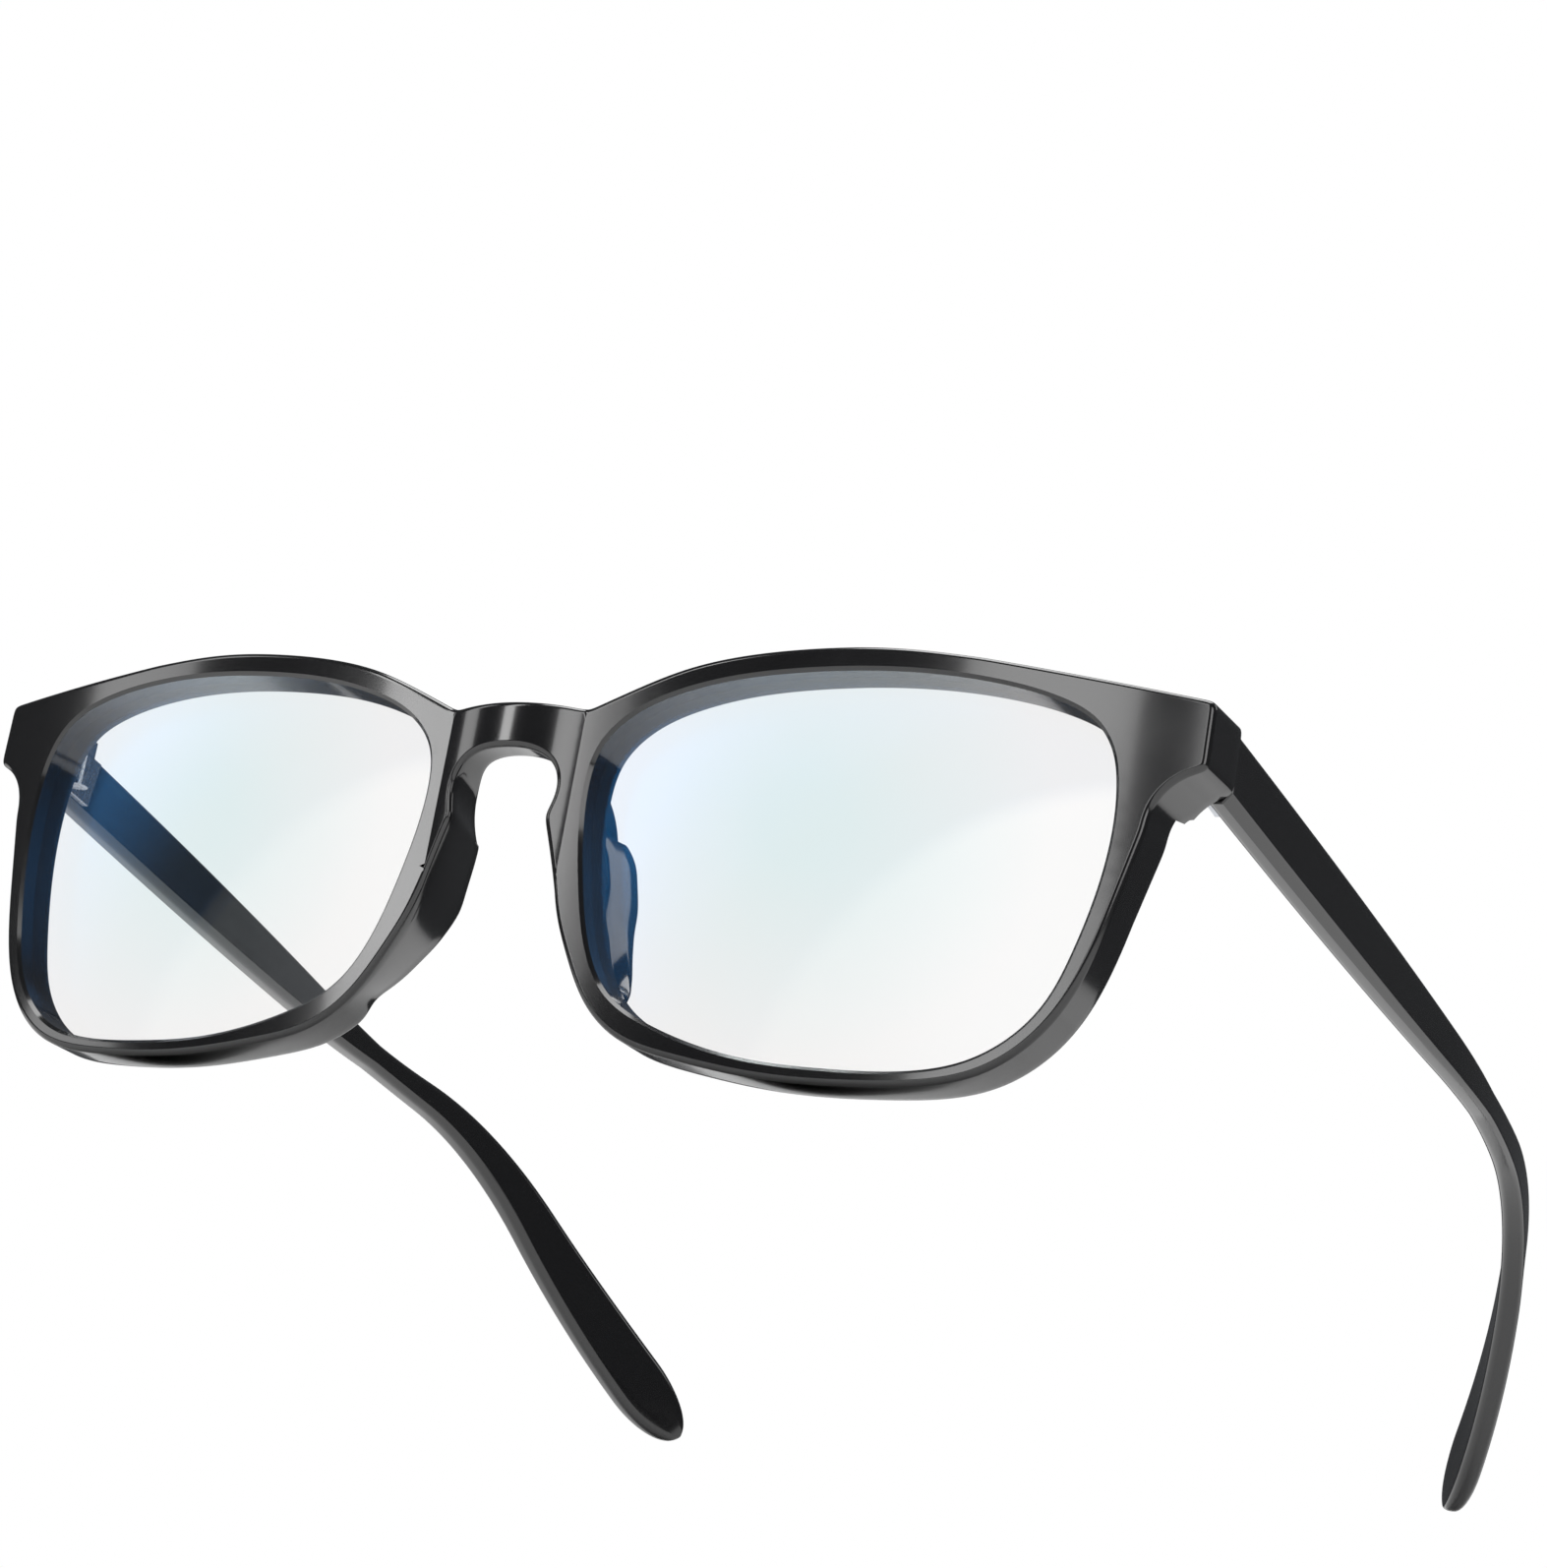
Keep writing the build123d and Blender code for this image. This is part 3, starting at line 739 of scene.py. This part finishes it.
def coatedLens(side):
    f = Finish(bpy.data.materials.new("coated_lens_" + ("left" if side > 0 else "right")))
    middle = standInFrame([(side * lensX, 5.0, 0.0)])[0]
    place = f.place()
    away = f.node("VectorMath", {"operation": "SUBTRACT"}, {0: place, 1: tuple(middle)}, "Vector")
    parts = [f.node("SeparateXYZ", None, {0: away}, k) for k in (0, 2)]
    across, up = parts[0] * 1000, parts[1] * 1000
    spotX, spotZ, spotOuter, spotInner = lensCoat["spot"]
    tint = f.grey(((across - spotX) ** 2 + (up - spotZ) ** 2) ** 0.5, spotOuter, spotInner)
    tone = tint * (0.8 + 0.4 * f.noise(60, 3))
    # painted reflection: the coat's blue sheen is painted strong towards one upper side and ends at a soft
    # arc, with a painted grey reflection just past the arc
    arcX, arcZ, arcRadius = lensCoat["arc"]
    arc = ((across - arcX) ** 2 + (up - arcZ) ** 2) ** 0.5
    paintedSheen = f.grey(arc, lensCoat["paintedSheenStart"], lensCoat["paintedSheenEnd"])
    paintedGreyReflection = f.grey(arc, arcRadius + lensCoat["arcSoft"], arcRadius - lensCoat["arcSoft"])
    smudge = f.grey(f.noise(160, 5), 0.5, 0.8)
    # the coat's reflection strength is painted by place: painted sheen and painted grey reflection, a little
    # everywhere and a little more on smudges
    strength = 0.01 + lensCoat["paintedSheen"] * paintedSheen ** 1.3 + lensCoat["paintedGreyReflection"] * paintedGreyReflection + 0.006 * smudge
    # colour of the painted reflection: blue in the sheen, grey past the arc
    blue = f.mix(paintedGreyReflection, lensCoat["blue"], lensCoat["grey"])
    shown = f.mix(strength, (0, 0, 0, 1), blue)
    roughness = lensCoat["blurred"] + 0.06 * smudge
    coat = f.surface(**{"Base_Color": shown, "Metallic": 1.0, "Roughness": roughness})
    clear = f.node("BsdfTransparent", None, {"Color": lensCoat["clear"]}, "BSDF")
    tinted = f.node("BsdfTransparent", None, {"Color": lensCoat["tinted"]}, "BSDF")
    through = f.node("MixShader", None, {0: tone, 1: clear, 2: tinted}, "Shader")
    return f.done(f.node("AddShader", None, {0: through, 1: coat}, "Shader"))


print("making the finishes")
dress(frontPiece, blackPlastic("front_black_plastic", (1, 1, 1)))
templePlastic = blackPlastic("temple_black_plastic", (1, 0.35, 1))
for piece in temples:
    dress(piece, templePlastic)
for piece, side in zip(lenses, (1, -1)):
    dress(piece, coatedLens(side))
leafMetal = platedMetal("hinge_plating", (1, 8, 1), hingeMetal["dull"])
screwMetal = platedMetal("screw_steel", (1, 1, 10), hingeMetal["screw"])
for name, node in frame["nodes"].items():
    if "hinge" in name:
        dress(node, screwMetal if "screw" in name else leafMetal)
        rounding = node.modifiers.new("soft edges", "BEVEL")
        rounding.width, rounding.segments = hinge["edgeBevel"] * 0.001, 2
        rounding.limit_method, rounding.angle_limit = "ANGLE", math.radians(40)

# camera and studio, with the camera placed from the front's own frame
view = {
    "place": (221.09, -335.45, -112.74),
    "right": (0.88098, 0.44337, 0.16521), "up": (-0.0053, -0.3399, 0.94045),
    "back": (0.47312, -0.82939, -0.2971),
    "lens": 99.348,
}
cameraData = bpy.data.cameras.new("camera")
cameraData.sensor_fit, cameraData.sensor_width, cameraData.lens = "HORIZONTAL", 36, view["lens"]
cameraData.clip_start, cameraData.clip_end = 0.01, 20
camera = bpy.data.objects.new("camera", cameraData)
columns = turn @ Matrix((view["right"], view["up"], view["back"])).transposed()
camera.matrix_world = Matrix.Translation(standInFrame(view["place"])) @ columns.to_4x4()
bpy.context.scene.collection.objects.link(camera)
bpy.context.scene.camera = camera
bpy.context.scene.view_settings.view_transform = "Standard"


# soft boxes round the glasses: azimuth from the front towards +X, elevation, width, height, radiance
boxes = {
    "far_left": (-60.0, 24.0, 0.2, 0.7, 2.2),
    "left": (-34.5, 24.0, 0.13, 0.7, 5.6),
    "front_right": (1.0, 22.0, 0.26, 0.75, 3.6),
    "front_far_right": (19.0, 22.0, 0.3, 0.65, 2.4),
    "right": (66.0, 14.0, 0.45, 0.5, 2.4),
    "back_right": (128.0, 40.0, 0.4, 0.5, 1.4),
    "top": (0.0, 90.0, 0.9, 0.9, 3.6),
}
boxDistance = 1.2
aim = Vector(standInFrame((0.0, 2.0, 0.0)))


def softBox(name, azimuth, elevation, width, height, radiance):
    a, e = math.radians(azimuth), math.radians(elevation)
    way = Vector((math.sin(a) * math.cos(e), -math.cos(a) * math.cos(e), math.sin(e)))
    data = bpy.data.lights.new(name, "AREA")
    data.shape, data.size, data.size_y = "RECTANGLE", width, height
    data.energy = radiance * math.pi * width * height
    obj = bpy.data.objects.new(name, data)
    obj.location = aim + way * boxDistance
    obj.rotation_euler = (-way).to_track_quat("-Z", "Y").to_euler()
    obj.visible_camera = False
    bpy.context.scene.collection.objects.link(obj)


for name, (azimuth, elevation, width, height, radiance) in boxes.items():
    softBox(name, azimuth, elevation, width, height, radiance)

# white behind the glasses, a dim studio for the gloss and a bright room for matt light
world = bpy.data.worlds.new("studio")
bpy.context.scene.world = world
sky = Finish(world, "OutputWorld")
pale = sky.node("Background", None, {"Color": (1, 1, 1, 1), "Strength": 1.0}, "Background")
studio = sky.node("Background", None, {"Color": (0.92, 0.95, 1, 1), "Strength": 0.07}, "Background")
room = sky.node("Background", None, {"Color": (1, 1, 1, 1), "Strength": 0.55}, "Background")
isMatt, isSeen = (sky.node("LightPath", result=k) for k in ("Is Diffuse Ray", "Is Camera Ray"))
indoors = sky.node("MixShader", None, {0: isMatt, 1: studio, 2: room}, "Shader")
sky.done(sky.node("MixShader", None, {0: isSeen, 1: indoors, 2: pale}, "Shader"))


floorLook = {"reach": 4.0, "pale": (0.84, 0.84, 0.84, 1), "shade": (0.80, 0.80, 0.80, 1), "roughness": 0.6}


def makeFloor():
    # pale from above and see-through from below, where the camera stands
    f = Finish(bpy.data.materials.new("pale_floor"))
    tone = f.mix(f.noise(6, 4), floorLook["shade"], floorLook["pale"])
    top = f.surface(**{"Base_Color": tone, "Roughness": floorLook["roughness"]})
    under = f.node("BsdfTransparent", None, {"Color": (1, 1, 1, 1)}, "BSDF")
    behind = f.node("NewGeometry", result="Backfacing")
    material = f.done(f.node("MixShader", None, {0: behind, 1: top, 2: under}, "Shader"))
    mesh = bpy.data.meshes.new("floor")
    r = floorLook["reach"]
    mesh.from_pydata([(-r, -r, 0), (r, -r, 0), (r, r, 0), (-r, r, 0)], [], [(0, 1, 2, 3)])
    floor = bpy.data.objects.new("floor", mesh)
    bpy.context.scene.collection.objects.link(floor)
    dress(floor, material)


makeFloor()
print("studio ready")
